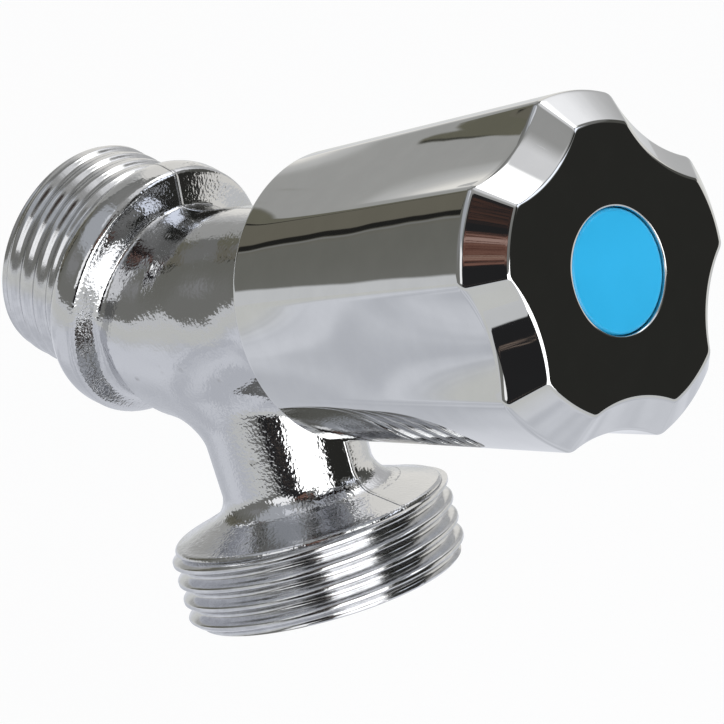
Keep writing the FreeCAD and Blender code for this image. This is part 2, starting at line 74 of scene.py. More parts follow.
def turned_field(outline, radius, height):
    """Signed distance to a turned solid from its half outline, which starts and ends on the axis."""
    nearest = np.full(radius.shape, 1e9, radius.dtype)
    inside = np.zeros(radius.shape, bool)
    for (r0, h0), (r1, h1) in zip(outline, outline[1:]):
        er, eh = r1 - r0, h1 - h0
        wr, wh = radius - r0, height - h0
        share = np.clip((wr * er + wh * eh) / (er * er + eh * eh), 0, 1)
        nearest = np.minimum(nearest, (wr - er * share) ** 2 + (wh - eh * share) ** 2)
        if eh:
            inside ^= ((h0 > height) != (h1 > height)) & (radius < er * wh / eh + r0)
    return np.where(inside, -1, 1) * np.sqrt(nearest)


def filleted(first, second, fillet):
    """Union of two fields with a round fillet where their surfaces meet."""
    a = np.maximum(fillet - first, 0)
    b = np.maximum(fillet - second, 0)
    return np.maximum(fillet, np.minimum(first, second)) - np.sqrt(a * a + b * b)


stem_outline = [(0, 0), (9.6, 0), (10.3, 0.55), (10.75, 0.75)]
stem_outline += arc((10.75, 0.75), (11.8, 1.75), (12.2, 3.0), 10)
stem_outline += [(12.15, 4.3)] + arc((12.15, 4.3), (12.016, 4.712), (11.657, 4.969), 8)
stem_outline += [(9.3, 5.70), (8.95, 5.81), (8.95, 9.0), (0, 9.0)]
tube_outline = [(0, 3.1), (9.0, 3.1), (9.0, 14.0)] + arc((9.0, 14.0), (6.364, 20.364), (0, 23.0), 16)
boss_outline = [(0, -9.5), (9.2, -9.5), (8.49, 8.0)] + arc((8.49, 8.0), (8.75, 9.8), (9.5, 11.2), 8)
boss_outline += [(10.2, 12.2), (10.4, 12.8), (10.4, 15.7), (10.1, 16), (0, 16)]
foot_outline = [(0, -7.4)] + arc((0, -7.4), (8.9, 1.5), (7.634, 6.07), 20)
foot_outline += arc((7.634, 6.07), (7.43, 6.55), (7.35, 7.1), 6) + [(7.1, 16.55)]
foot_outline += arc((7.1, 16.55), (7.55, 17.72), (8.6, 18.62), 8)
foot_outline += [(9.4, 18.903), (9.4, 20.5), (0, 20.5)]
inlet_bore = [(0, -8), (7.0, -8), (7.0, 4.7), (0, 8.9)]
port_bore = [(0, -10.7), (4.0, -10.7), (4.0, -2.0), (0, -2.0)]
chamber_bore = [(0, -4.2), (5.0, -4.2), (5.4, -5.2), (6.4, -5.2), (6.4, 10.2), (8.38, 10.2)]
chamber_bore += [(8.38, 17), (0, 17)]
outlet_bore = [(0, 5.45), (4.7, 5.45), (4.7, 17.8), (9.5, 22.6), (9.5, 30), (0, 30)]


def casting_field(points):
    """Signed distance to the bored casting without its threads."""
    stem = turned_field(stem_outline, *about(points, wall_face, inlet_way))
    from_head = about(points, junction, head_way)
    from_outlet = about(points, junction, outlet_way)
    tube = turned_field(tube_outline, *about(points, tube_start, inlet_way))
    solid = filleted(turned_field(foot_outline, *from_outlet), turned_field(boss_outline, *from_head), 2.2)
    solid = filleted(solid, tube, 1.6)
    solid = filleted(solid, stem, 0.8)
    bores = turned_field(inlet_bore, *about(points, wall_face, inlet_way))
    bores = np.minimum(bores, turned_field(port_bore, *from_head))
    bores = np.minimum(bores, turned_field(chamber_bore, *from_head))
    bores = np.minimum(bores, turned_field(outlet_bore, *from_outlet))
    return np.maximum(solid, -bores)


def skin_of(field, low, high, step):
    """Vertices and four-sided faces on the zero surface of a field, one vertex to a grid cell."""
    axes = [np.arange(a, b, step, dtype=np.float32) for a, b in zip(low, high)]
    grid = np.stack(np.meshgrid(*axes, indexing="ij"), -1)
    values = field(grid)
    total = np.zeros(tuple(n - 1 for n in values.shape) + (3,), np.float32)
    count = np.zeros(total.shape[:3], np.int32)
    quads = []
    for axis in range(3):
        side = [k for k in range(3) if k != axis]
        edge = np.argwhere(np.diff(values < 0, axis=axis))
        keep = np.ones(len(edge), bool)
        for k in side:
            keep &= (edge[:, k] > 0) & (edge[:, k] < values.shape[k] - 1)
        edge = edge[keep]
        step_on = np.eye(3, dtype=int)[axis]
        here = values[tuple(edge.T)]
        there = values[tuple((edge + step_on).T)]
        crossing = edge + step_on * (here / (here - there))[:, None]
        cells = []
        for shift in ((0, 0), (1, 0), (1, 1), (0, 1)):
            cell = edge.copy()
            cell[:, side[0]] -= shift[0]
            cell[:, side[1]] -= shift[1]
            np.add.at(total, tuple(cell.T), crossing)
            np.add.at(count, tuple(cell.T), 1)
            cells.append(cell)
        turned_over = (here < 0) == (axis == 1)
        quads.append((np.stack(cells, 1), turned_over))
    used = count > 0
    number = np.cumsum(used).reshape(used.shape) - 1
    vertices = (total[used] / count[used][:, None]) * step + np.array(low, np.float32)
    faces = []
    for cells, turned_over in quads:
        corners = number[cells[..., 0], cells[..., 1], cells[..., 2]]
        faces.append(np.where(turned_over[:, None], corners[:, ::-1], corners))
    vertices = vertices.astype(np.float64)
    nudge = 0.02
    for _ in range(3):
        ahead = [field(vertices + nudge * unit) for unit in np.eye(3)]
        behind = [field(vertices - nudge * unit) for unit in np.eye(3)]
        slope = (np.stack(ahead, -1) - np.stack(behind, -1)) / (2 * nudge)
        size = np.maximum((slope * slope).sum(-1), 0.25)
        vertices -= np.clip(field(vertices) / size, -0.1, 0.1)[:, None] * slope
    return vertices, np.concatenate(faces)


def ring_faces(rings, count, closed=False):
    """Four-sided faces between rings of points, and from the last ring to the first where closed."""
    row = np.arange(rings if closed else rings - 1)[:, None]
    here = np.arange(count)
    then = (here + 1) % count
    near, far = row * count, (row + 1) % rings * count
    return np.stack([near + here, near + then, far + then, far + here], -1).reshape(-1, 4)


def spun(start, way, up, radii, heights, closed=False):
    """Vertices and faces of rings about an axis: radii is a table of rings by angle."""
    across = np.cross(way, up)
    rings, count = radii.shape
    angle = np.arange(count) * 2 * math.pi / count
    spokes = np.cos(angle)[:, None] * up + np.sin(angle)[:, None] * across
    heights = np.asarray(heights, float)[:, None, None]
    vertices = start + radii[..., None] * spokes + heights * way
    return vertices.reshape(-1, 3), ring_faces(rings, count, closed)


thread_pitch = 1.814
inlet_crest_r, inlet_root_r, inlet_bore_r = 10.4775, 10.22, 7.0
outlet_crest_r, outlet_root_r, outlet_bore_r = 13.2205, 12.16, 9.5


def ridged(height, angle, first_crest, root_r, crest_r):
    """Radius of a right-hand pipe thread, 14 ridges to the inch, with rounded crests and roots."""
    turns = (height - first_crest) / thread_pitch - angle / (2 * math.pi)
    share = 1 - 2 * np.abs(turns - np.round(turns))
    share = np.clip((share - 0.12) / 0.74, 0, 1)
    return root_r + (crest_r - root_r) * share * share * (3 - 2 * share)


def inlet_thread():
    """Half inch male thread from the collar back to its chamfered rim, with the bore's wall inside."""
    count = 240
    angle = np.arange(count) * 2 * math.pi / count
    height = np.linspace(-0.9, 6.9, 110)
    radii = ridged(height[:, None], angle, 0.5, inlet_root_r, inlet_crest_r)
    runout = np.clip((0.7 - height) / 0.9, 0, 1)[:, None]
    plain = 10.2 + 0.5 * np.clip((0.1 - height) / 0.9, 0, 1)[:, None] ** 2
    runout = runout * runout * (3 - 2 * runout)
    radii = radii * (1 - runout) + plain * runout
    radii = np.minimum(radii, (10.12 + 0.9 * (6.9 - height))[:, None])
    inside = [(10.0, 6.97), (9.8, 7.0), (7.7, 7.0), (7.25, 6.9)]
    inside += [(inlet_bore_r, depth) for depth in (6.6, 3.0, -0.05)]
    radii = np.concatenate([radii, np.repeat(np.array(inside)[:, :1], count, 1)])
    height = np.append(height, [h for _, h in inside])
    return spun(wall_face, -inlet_way, np.array((0.0, 0.0, 1.0)), radii, height, True)


def cone_rim():
    """The lower cone of the foot from the end of its fillet to the rounded rim, and back under it."""
    profile = [(9.2, 18.829), (10.2, 19.186), (11.3, 19.576), (12.25, 19.912)]
    profile += arc((12.25, 19.912), (12.62, 20.09), (12.7, 20.3), 5) + [(12.5, 20.5), (9.2, 20.5)]
    radii = np.repeat(np.array(profile)[:, :1], 240, 1)
    return spun(junction, outlet_way, head_way, radii, [h for _, h in profile], True)


def outlet_thread():
    """Three quarter inch hose thread below the cone, with its flat rim and the mouth bored inside."""
    count = 288
    angle = np.arange(count) * 2 * math.pi / count
    height = np.linspace(20.35, 27.45, 100)
    radii = ridged(height[:, None], angle, 20.63, outlet_root_r, outlet_crest_r)
    radii = np.minimum(radii, (12.25 + 1.0 * (27.6 - height))[:, None])
    inside = [(12.2, 27.58), (11.2, 27.6), (9.9, 27.6), (9.6, 27.5)]
    inside += [(outlet_bore_r, depth) for depth in (27.3, 25.0, 22.6)] + [(7.25, 20.35)]
    radii = np.concatenate([radii, np.repeat(np.array(inside)[:, :1], count, 1)])
    height = np.append(height, [h for _, h in inside])
    return spun(junction, outlet_way, head_way, radii, height, True)


def mesh_from(name, *shells):
    """One smooth mesh object from shells of vertices and faces in millimetres."""
    vertices = np.concatenate([shell[0] for shell in shells]) / 1000
    starts = np.cumsum([0] + [len(shell[0]) for shell in shells])
    faces = np.concatenate([shell[1] + start for shell, start in zip(shells, starts)])
    mesh = bpy.data.meshes.new(name)
    mesh.from_pydata(vertices.tolist(), [], faces.tolist())
    mesh.shade_smooth()
    mesh.set_sharp_from_angle(angle=math.radians(50))
    piece = bpy.data.objects.new(name, mesh)
    bpy.context.scene.collection.objects.link(piece)
    return piece


class Shade:
    """A socket in a node tree: sums and products of shades add the nodes that work them out."""

    def __init__(self, tree, socket=None):
        self.tree = tree
        self.socket = socket

    def node(self, kind, sockets=None, out=0, **settings):
        """Any node, with its settings, its sockets' values or links, and the output that is wanted."""
        made = self.tree.nodes.new(kind)
        for name, value in settings.items():
            setattr(made, name, value)
        for key, value in (sockets or {}).items():
            if isinstance(value, Shade):
                self.tree.links.new(value.socket, made.inputs[key])
            else:
                made.inputs[key].default_value = value
        return Shade(self.tree, made.outputs[out] if made.outputs else None)

    def sum_of(self, operation, *values):
        return self.node("ShaderNodeMath", dict(enumerate(values)), operation=operation)

    def __add__(self, other):
        return self.sum_of("ADD", self, other)

    __radd__ = __add__

    def __sub__(self, other):
        return self.sum_of("SUBTRACT", self, other)

    def __rsub__(self, other):
        return self.sum_of("SUBTRACT", other, self)

    def __mul__(self, other):
        return self.sum_of("MULTIPLY", self, other)

    __rmul__ = __mul__

    def __abs__(self):
        return self.sum_of("ABSOLUTE", self)

    def step(self, low, high):
        """Runs smoothly from 0 at low to 1 at high; low may be the greater."""
        return self.node("ShaderNodeMapRange", {0: self, 1: low, 2: high}, interpolation_type="SMOOTHSTEP")

    def tint(self, first, second):
        """A colour that goes from first to second as this shade goes from 0 to 1."""
        ends = {6: (*first, 1) if isinstance(first, tuple) else first}
        ends[7] = (*second, 1) if isinstance(second, tuple) else second
        return self.node("ShaderNodeMix", {0: self, **ends}, out=2, data_type="RGBA")

    def noise(self, place, scale, detail=2.0, roughness=0.5):
        sockets = {"Vector": place, "Scale": scale, "Detail": detail, "Roughness": roughness}
        return self.node("ShaderNodeTexNoise", sockets)


def finish(name):
    """A new material with a plain Principled surface, as (material, shade to build on, shader node)."""
    material = bpy.data.materials.new(name)
    material.use_nodes = True
    shader = material.node_tree.nodes["Principled BSDF"]
    return material, Shade(material.node_tree), shader


def wire(shade, shader, socket):
    shade.tree.links.new(shade.socket, shader.inputs[socket])


cast_chrome, shade, shader = finish("cast_chrome")
place = shade.node("ShaderNodeTexCoord", out="Object")
across = shade.node("ShaderNodeSeparateXYZ", {0: place}, out="Y")
ripple = shade.noise(place, 260, 1.0)
grain = shade.noise(place, 3600, 1.0)
swirl = shade.noise(place, 900, 2.0)
along = shade.node("ShaderNodeSeparateXYZ", {0: place}, out="X")
down = {0: place, 1: tuple(outlet_way)}
down = shade.node("ShaderNodeVectorMath", down, out="Value", operation="DOT_PRODUCT")
coarse = down.step(0.0075, 0.0125) + along.step(0.0044, 0.005) * along.step(0.0066, 0.006) * 0.6
pits = shade.node("ShaderNodeTexVoronoi", {"Vector": place, "Scale": 420}, out="Distance")
spread = shade.noise(place, 190, 1.0)
pitted = pits.step(0.2, 0.06) * spread.step(0.54, 0.68)
parting = abs(across - 0.0007).step(0.00026, 0.00005)
relief = ripple * 0.00009 + swirl * 0.000022 + grain * (0.00001 + coarse * 0.00002)
relief = relief - pitted * 0.00005 + parting * 0.00007
bump = shade.node("ShaderNodeBump", {"Height": relief, "Distance": 1.0, "Strength": 1.0})
wire(bump, shader, "Normal")
wire(pitted.tint((0.62, 0.625, 0.64), (0.34, 0.33, 0.31)), shader, "Base Color")
wire(0.05 + grain * 0.06, shader, "Roughness")
shader.inputs["Metallic"].default_value = 1.0

thread_chrome, shade, shader = finish("thread_chrome")
place = shade.node("ShaderNodeTexCoord", out="Object")
grain = shade.noise(place, 1100, 3.0, 0.6)
ripple = shade.noise(place, 240, 1.0)
relief = ripple * 0.00004 + grain * 0.000014
bump = shade.node("ShaderNodeBump", {"Height": relief, "Distance": 1.0, "Strength": 1.0})
wire(bump, shader, "Normal")
wire(grain.step(0.3, 0.75).tint((0.60, 0.605, 0.62), (0.68, 0.685, 0.70)), shader, "Base Color")
wire(0.1 + grain * 0.1, shader, "Roughness")
shader.inputs["Metallic"].default_value = 1.0

skin_step = 0.31
casting_skin = skin_of(casting_field, (-0.75, -12.9, -20.3), (35.3, 12.9, 20.2), skin_step)
casting = mesh_from("valve_casting", casting_skin, cone_rim())
casting.data.materials.append(cast_chrome)
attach(casting, "body")
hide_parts("valve_body")
for name, thread_skin in (("inlet_thread", inlet_thread()), ("outlet_thread", outlet_thread())):
    thread = mesh_from(name, thread_skin)
    thread.data.materials.append(thread_chrome)
    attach(thread, "body")


# Handle: one hollow die casting, polished and chrome plated, that fits the spindle's splines. Its skirt
# grows from a round back rim into five lobes, and a bevel leads from the lobes to the flat face.
handle_back, handle_edge, handle_face = 13.74, 45.22, 48.09


def lobed(lobe_r, valley_depth, half_angle, corner_r, counts=(16, 8, 22, 8)):
    """Angle and radius round a five-lobed outline, and the even angle that each point grew from."""
    valley_r = lobe_r - valley_depth
    spread = math.pi / 5 - math.radians(half_angle)
    chord, sag = lobe_r * math.sin(spread), lobe_r * math.cos(spread) - valley_r
    valley_round = (chord ** 2 + sag ** 2) / (2 * sag)
    middle = valley_r + valley_round
    reach = lobe_r - corner_r
    turn = math.acos((reach ** 2 + middle ** 2 - (valley_round + corner_r) ** 2) / (2 * reach * middle))
    centre = reach * complex(math.cos(turn), math.sin(turn))
    towards = (middle - centre) / abs(middle - centre)
    meets = centre + corner_r * towards
    outwards = centre / abs(centre) + towards
    crown = centre + corner_r * outwards / abs(outwards)
    outline, grown = [], []
    for lobe in range(5):
        axis = math.radians(24.7) + lobe * 2 * math.pi / 5
        valley = np.exp(1j * (axis + math.pi / 5))
        before = np.exp(1j * (axis - math.pi / 5))
        on_lobe = lobe_r * np.exp(1j * turn)
        stops = [before * on_lobe, lobe_r * np.exp(1j * axis), valley * on_lobe.conjugate(),
                 valley * crown.conjugate(), valley * meets.conjugate(), valley * valley_r,
                 valley * meets, valley * crown, valley * on_lobe]
        for part in range(4):
            ends = [(stop.real, stop.imag) for stop in stops[2 * part:2 * part + 3]]
            points = [ends[0]] + arc(*ends, counts[part])[:-1]
            outline += [complex(*point) for point in points]
            sweep = np.angle(stops[2 * part + 2] / stops[2 * part])
            grown += [np.angle(stops[2 * part]) + sweep * k / counts[part] for k in range(counts[part])]
    return np.array(outline), np.exp(1j * np.array(grown))


def eased(before, corner, after, reach_in, reach_out, count):
    """Rings of a small round at a corner ring, from the ring before it to the ring after it."""
    def step_back(towards, reach):
        way = towards - corner
        return corner + way * (reach / np.linalg.norm(way, axis=-1, keepdims=True))
    first, last = step_back(before, reach_in), step_back(after, reach_out)
    share = np.linspace(0, 1, count)[:, None, None]
    return list(first * (1 - share) ** 2 + corner * 2 * share * (1 - share) + last * share ** 2)


def handle_skin():
    """Outer skirt, bevel, face and disc seat, then the hollow's wall and the hub, as rings of points."""
    edge, grown = lobed(15.2, 2.0, 16.0, 1.2)
    face, _ = lobed(12.3, 1.8, 14.0, 0.8)
    inner, inner_grown = lobed(13.8, 2.0, 16.0, 1.2)

    def ring(outline, height):
        return np.stack([outline.real, outline.imag, np.full(len(outline), height)], -1)

    def between(first, second, shares):
        return [first * (1 - share) + second * share for share in shares]

    back = ring(12.95 * grown, handle_back)
    rim = ring(12.3 * grown, handle_back)
    lip = ring(11.6 * grown, handle_back + 0.1)
    lobes = ring(edge, handle_edge)
    flat = ring(face, handle_face)
    seat = ring(5.42 * face / abs(face), handle_face)
    rings = [lip, rim]
    rings += eased(rim, back, lobes, 0.3, 0.3, 6)
    rings += between(rings[-1], lobes, np.linspace(0.004, 0.97, 30))
    corner = eased(back, lobes, flat, 0.34, 0.34, 7)
    rings += between(rings[-1], corner[0], (0.5, 0.9)) + corner
    shoulder = eased(lobes, flat, seat, 0.3, 0.34, 9)
    rings += between(corner[-1], shoulder[0], (0.04, 0.3, 0.7, 0.96)) + shoulder
    rings += between(shoulder[-1], seat, (0.02, 0.25, 0.5, 0.75, 0.97))
    rings += [seat]
    spokes = face / abs(face)
    sunk = ((5.34, 0.07), (5.33, 0.4), (5.33, 1.3), (4.1, 1.3), (4.1, 5.2), (2.3, 5.2), (2.3, 6.7))
    for radius, depth in sunk:
        rings.append(ring(radius * spokes, handle_face - depth))
    for radius, height in ((3.75, handle_face - 6.7), (3.75, 35.0), (6.3, 35.0), (6.3, 43.0)):
        rings.append(ring(radius * inner_grown, height))
    hollow = ring(inner, 43.09)
    rings += between(hollow, ring(11.6 * inner_grown, handle_back + 0.1), np.linspace(0, 0.97, 9))
    table = np.array(rings)
    points = junction + table @ np.array([outlet_way, (0.0, 1.0, 0.0), head_way])
    return points.reshape(-1, 3), ring_faces(len(rings), table.shape[1], True)


polished_chrome, shade, shader = finish("polished_chrome")
place = shade.node("ShaderNodeTexCoord", out="Object")
swell = shade.noise(place, 60, 1.0)
haze = shade.noise(place, 420, 3.0)
rubbed = {"Vector": place, "Scale": (60, 2600, 2600), "Rotation": (0, head_tilt, 0)}
hairline = shade.noise(shade.node("ShaderNodeMapping", rubbed), 1.0, 2.0)
wave = shade.noise(place, 120, 1.0)
relief = swell * 0.00006 + wave * 0.00003 + hairline * 0.0000002
bump = shade.node("ShaderNodeBump", {"Height": relief, "Distance": 1.0, "Strength": 1.0})
wire(bump, shader, "Normal")
wire(haze.step(0.3, 0.8).tint((0.63, 0.635, 0.64), (0.66, 0.665, 0.67)), shader, "Base Color")
wire(0.018 + haze * 0.02, shader, "Roughness")
shader.inputs["Metallic"].default_value = 1.0
handle = mesh_from("handle_shell", handle_skin())
handle.data.materials.append(polished_chrome)
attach(handle, "handle")
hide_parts("handle")


# Index disc: a blue moulded cap for cold water, pressed into the seat in the handle's face over the
# handle screw. It lies a little below the face, with a softly broken edge.
def disc_skin():
    """The cap's face with its rounded edge, and the wall down to the floor of its seat."""
    top = handle_face - 0.15
    profile = [(0.02, top + 0.05), (2.0, top + 0.045), (4.0, top + 0.02), (4.8, top)]
    profile += arc((4.8, top), (5.12, top - 0.09), (5.26, top - 0.38), 6)
    profile += [(5.28, top - 0.7), (5.28, handle_face - 1.3), (0.02, handle_face - 1.3)]
    radii = np.repeat(np.array(profile)[::-1, :1], 128, 1)
    return spun(junction, head_way, np.array((0.0, 1.0, 0.0)), radii, [h for _, h in profile[::-1]], True)


blue_plastic, shade, shader = finish("blue_plastic")
place = shade.node("ShaderNodeTexCoord", out="Object")
cloud = shade.noise(place, 130, 2.0)
speck = shade.noise(place, 2400, 2.0)
wire(cloud.step(0.25, 0.75).tint((0.026, 0.425, 0.775), (0.031, 0.46, 0.835)), shader, "Base Color")
wire(0.28 + speck * 0.05, shader, "Roughness")
bump = shade.node("ShaderNodeBump", {"Height": speck * 0.0000003, "Distance": 1.0, "Strength": 1.0})
wire(bump, shader, "Normal")
disc = mesh_from("index_cap", disc_skin())
disc.data.materials.append(blue_plastic)
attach(disc, "handle")
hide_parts("index_disc")


# Headwork: bonnet, spindle, valve cone and washer plate are turned from brass bar and left bare.
# Fine rings from the lathe run round the head axis, and the brass is a little dulled by water.
bare_brass, shade, shader = finish("bare_brass")
place = shade.node("ShaderNodeTexCoord", out="Object")
lathe = {"Vector": place, "Rotation": (0, head_tilt, 0), "Scale": (5200, 60, 60)}
rings = shade.noise(shade.node("ShaderNodeMapping", lathe), 1.0, 2.0)
dull = shade.noise(place, 240, 3.0)
wire(dull.step(0.3, 0.75).tint((0.78, 0.60, 0.30), (0.62, 0.44, 0.20)), shader, "Base Color")
wire(0.22 + dull * 0.2, shader, "Roughness")
bump = shade.node("ShaderNodeBump", {"Height": rings * 0.000004, "Distance": 1.0, "Strength": 1.0})
wire(bump, shader, "Normal")
shader.inputs["Metallic"].default_value = 1.0
for name in ("bonnet", "spindle", "valve_cone", "washer_plate"):
    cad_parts[name].data.materials.clear()
    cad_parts[name].data.materials.append(bare_brass)


# Seals: black rubber rings on the spindle and the cone, and the rubber seat washer that closes the
# port. They are moulded, so the skin is matt with a fine talc bloom.
seal_rubber, shade, shader = finish("black_rubber")
place = shade.node("ShaderNodeTexCoord", out="Object")
bloom = shade.noise(place, 900, 4.0, 0.6)
wire(bloom.step(0.35, 0.8).tint((0.018, 0.018, 0.019), (0.06, 0.06, 0.06)), shader, "Base Color")
wire(0.55 + bloom * 0.25, shader, "Roughness")
bump = shade.node("ShaderNodeBump", {"Height": bloom * 0.00001, "Distance": 1.0, "Strength": 1.0})
wire(bump, shader, "Normal")
for name in ("spindle_o_ring_inner", "spindle_o_ring_outer", "cone_o_ring", "seat_washer"):
    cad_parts[name].data.materials.clear()
    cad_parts[name].data.materials.append(seal_rubber)


# Bonnet seal: a ring cut from red fibre gasket board, squeezed between the boss and the bonnet's
# flange. Short fibres show on its cut edge.
gasket_board, shade, shader = finish("gasket_board")
place = shade.node("ShaderNodeTexCoord", out="Object")
fibre = shade.noise(place, 1600, 4.0, 0.7)
wire(fibre.step(0.3, 0.75).tint((0.40, 0.10, 0.06), (0.55, 0.20, 0.12)), shader, "Base Color")
wire(0.7 + fibre * 0.2, shader, "Roughness")
bump = shade.node("ShaderNodeBump", {"Height": fibre * 0.00002, "Distance": 1.0, "Strength": 1.0})
wire(bump, shader, "Normal")
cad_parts["bonnet_seal"].data.materials.clear()
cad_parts["bonnet_seal"].data.materials.append(gasket_board)


# Thrust washer: a thin white slip ring between the spindle's collar and the bonnet, stamped from
# sheet plastic.
slip_plastic, shade, shader = finish("slip_plastic")
place = shade.node("ShaderNodeTexCoord", out="Object")
mottle = shade.noise(place, 700, 3.0)
wire(mottle.tint((0.86, 0.86, 0.83), (0.93, 0.93, 0.91)), shader, "Base Color")
wire(0.35 + mottle * 0.15, shader, "Roughness")
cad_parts["thrust_washer"].data.materials.clear()
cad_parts["thrust_washer"].data.materials.append(slip_plastic)


# Steel small parts: the spindle's circlip, the screw that holds the seat washer and the screw that
# holds the handle, all in plain stainless steel with a satin skin.
satin_steel, shade, shader = finish("satin_steel")
place = shade.node("ShaderNodeTexCoord", out="Object")
satin = shade.noise(place, 1300, 4.0, 0.6)
wire(satin.step(0.3, 0.75).tint((0.50, 0.50, 0.51), (0.64, 0.64, 0.65)), shader, "Base Color")
wire(0.22 + satin * 0.2, shader, "Roughness")
bump = shade.node("ShaderNodeBump", {"Height": satin * 0.000004, "Distance": 1.0, "Strength": 1.0})
wire(bump, shader, "Normal")
shader.inputs["Metallic"].default_value = 1.0
for name in ("spindle_circlip", "washer_screw", "handle_screw"):
    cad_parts[name].data.materials.clear()
    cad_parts[name].data.materials.append(satin_steel)


# Photo table: a pale sheet under the valve, which keeps a soft shadow and shows in the chrome up to
# its far edge. There it glows with painted light. It is stage, and no piece of the valve.
table_middle = np.array((25.0, 0.0, -82.0))
bright_share = 0.88


def table_skin():
    """A round sheet with a few rings, level, below the valve."""
    radii = np.repeat(np.array([[0.5], [120.0], [240.0], [330.0]]), 96, 1)
    return spun(table_middle, np.array((0.0, 0.0, 1.0)), inlet_way, radii[::-1], np.zeros(4))


table_sheet = mesh_from("photo_table", table_skin())
table_paint_and_glow, shade, shader = finish("table_paint_and_glow")
light_path = shade.node("ShaderNodeLightPath", out="Is Camera Ray")
mirrored = shade.node("ShaderNodeLightPath", out="Is Glossy Ray")
through = shade.node("ShaderNodeLightPath", out="Is Transmission Ray")
shader.inputs["Base Color"].default_value = (0.80, 0.81, 0.84, 1)
shader.inputs["Roughness"].default_value = 0.9
place = shade.node("ShaderNodeTexCoord", out="Object")
# Painted light: in the chrome the sheet glows in soft bands of lighter and darker blue grey near the valve
# and in a warmer grey farther out, painted light and shade of a lit sheet.
band_stretch = {"Vector": place, "Rotation": (0, 0, 0.6), "Scale": (1.0, 0.35, 1.0)}
band_stretch = shade.node("ShaderNodeMapping", band_stretch)
painted_bands = shade.noise(band_stretch, 24, 2.0)
far = {0: place, 1: tuple(table_middle / 1000)}
far = shade.node("ShaderNodeVectorMath", far, out="Value", operation="DISTANCE")
painted_table_glow = painted_bands.step(0.38, 0.62).tint((0.64, 0.66, 0.715), (0.85, 0.87, 0.93))
painted_table_glow = far.step(0.15, 0.24).tint(painted_table_glow, (0.76, 0.765, 0.735))
glow = shade.node("ShaderNodeEmission", {"Color": painted_table_glow, "Strength": 1.0})
white = shade.node("ShaderNodeEmission", {"Color": (1, 1, 1, 1), "Strength": 1.03})
bright = shade.node("ShaderNodeMixShader", {0: light_path, 1: glow, 2: white})
seen = shade.sum_of("MAXIMUM", light_path, shade.sum_of("MAXIMUM", mirrored, through)) * bright_share
plain = Shade(table_paint_and_glow.node_tree, shader.outputs[0])
surface = shade.node("ShaderNodeMixShader", {0: seen, 1: plain, 2: bright})
wire(surface, table_paint_and_glow.node_tree.nodes["Material Output"], "Surface")
table_sheet.data.materials.append(table_paint_and_glow)


# Room: the walls that the chrome mirrors, as stage: a window, a doorway, a lamp and a dark curtain in
# a grey room. They are guessed and placed for their reflections. The walls glow, and their tones are
# painted light and shade: bright where the window, the lamp and the sky are, dark and shaded where the
# doorway, the curtain and the dim walls are. The camera doesn't see the walls, so behind the valve
# there is only the white world.
def room_skin():
    """A wide round shell about the valve."""
    rise = np.radians(np.linspace(-89.9, 89.9, 13))
    reach = 20000.0
    radii = np.repeat(reach * np.cos(rise)[:, None], 24, 1)
    return spun(np.zeros(3), np.array((0.0, 0.0, 1.0)), inlet_way, radii, reach * np.sin(rise))


room = mesh_from("room_walls", room_skin())
room.visible_camera = False
room_glow, shade, shader = finish("room_glow")
sight = shade.node("ShaderNodeTexCoord", out="Object")
sight = shade.node("ShaderNodeVectorMath", {0: sight}, operation="NORMALIZE")
sight_x = shade.node("ShaderNodeSeparateXYZ", {0: sight}, out="X")
sight_y = shade.node("ShaderNodeSeparateXYZ", {0: sight}, out="Y")
sight_z = shade.node("ShaderNodeSeparateXYZ", {0: sight}, out="Z")
bearing = shade.sum_of("ARCTAN2", sight_y, sight_x) * (180 / math.pi)
rise = shade.sum_of("ARCSINE", sight_z) * (180 / math.pi)
lower = rise.step(-9.0, -10.2)
eave_foot = rise - (bearing - 160.0) * 0.37 - 9.2
eave_top = (bearing - 160.0) * 0.55 + 9.2 - rise
bearing = bearing + (shade.noise(sight, 7, 2.0) - 0.5) * 4
rise = rise + (shade.noise(sight, 16, 2.0) - 0.5) * 4


def patch(left, right, low, high, soft=2.0, height=rise):
    """1 inside a stretch of the room between two bearings and two heights in degrees, with soft edges."""
    wide = bearing.step(left - soft, left + soft) * bearing.step(right + soft, right - soft)
    return wide * height.step(low - soft, low + soft) * height.step(high + soft, high - soft)


olive_wall = (0.165, 0.16, 0.12)
doorway_dark = (0.029, 0.029, 0.026)
beige_wall = (0.92, 0.90, 0.85)
sky_glow = (1.5, 1.58, 1.75)
window_glow = (3.0, 3.0, 2.95)
lamp_glow = (3.0, 3.0, 2.9)
table_tone = (0.74, 0.75, 0.76)
# Every tone from here on is painted light and shade of the room's glowing walls: lighter towards the top,
# bright in the lit stretches and dark in the shaded ones.
room_glow_tone = rise.step(30, 85).tint((0.21, 0.21, 0.20), (0.36, 0.36, 0.35))
room_glow_tone = patch(48, 100, 4.5, 32, 2).tint(room_glow_tone, (0.10, 0.10, 0.09))
pale_wall = rise.step(12, 46).tint((0.58, 0.58, 0.58), (1.3, 1.3, 1.32))
room_glow_tone = patch(98, 128, -40, 90, 5).tint(room_glow_tone, pale_wall)
back_wall = bearing.step(143, 151).tint((0.96, 0.94, 0.89), (0.60, 0.60, 0.59))
back_wall = bearing.step(150, 158).tint(back_wall, (0.435, 0.435, 0.42))
room_glow_tone = patch(128, 174, -40, 44, 1.2).tint(room_glow_tone, back_wall)
eave = eave_foot.step(-0.15, 0.25) * eave_top.step(-0.15, 0.25) * bearing.step(163.5, 165)
eave_edge = eave * eave_top.step(0.55, 0.3) * bearing.step(172, 168)
room_glow_tone = patch(170.5, 182, 12.2, 16.5, 0.8).tint(room_glow_tone, olive_wall)
room_glow_tone = eave.tint(room_glow_tone, olive_wall)
room_glow_tone = eave_edge.tint(room_glow_tone, (0.06, 0.06, 0.05))
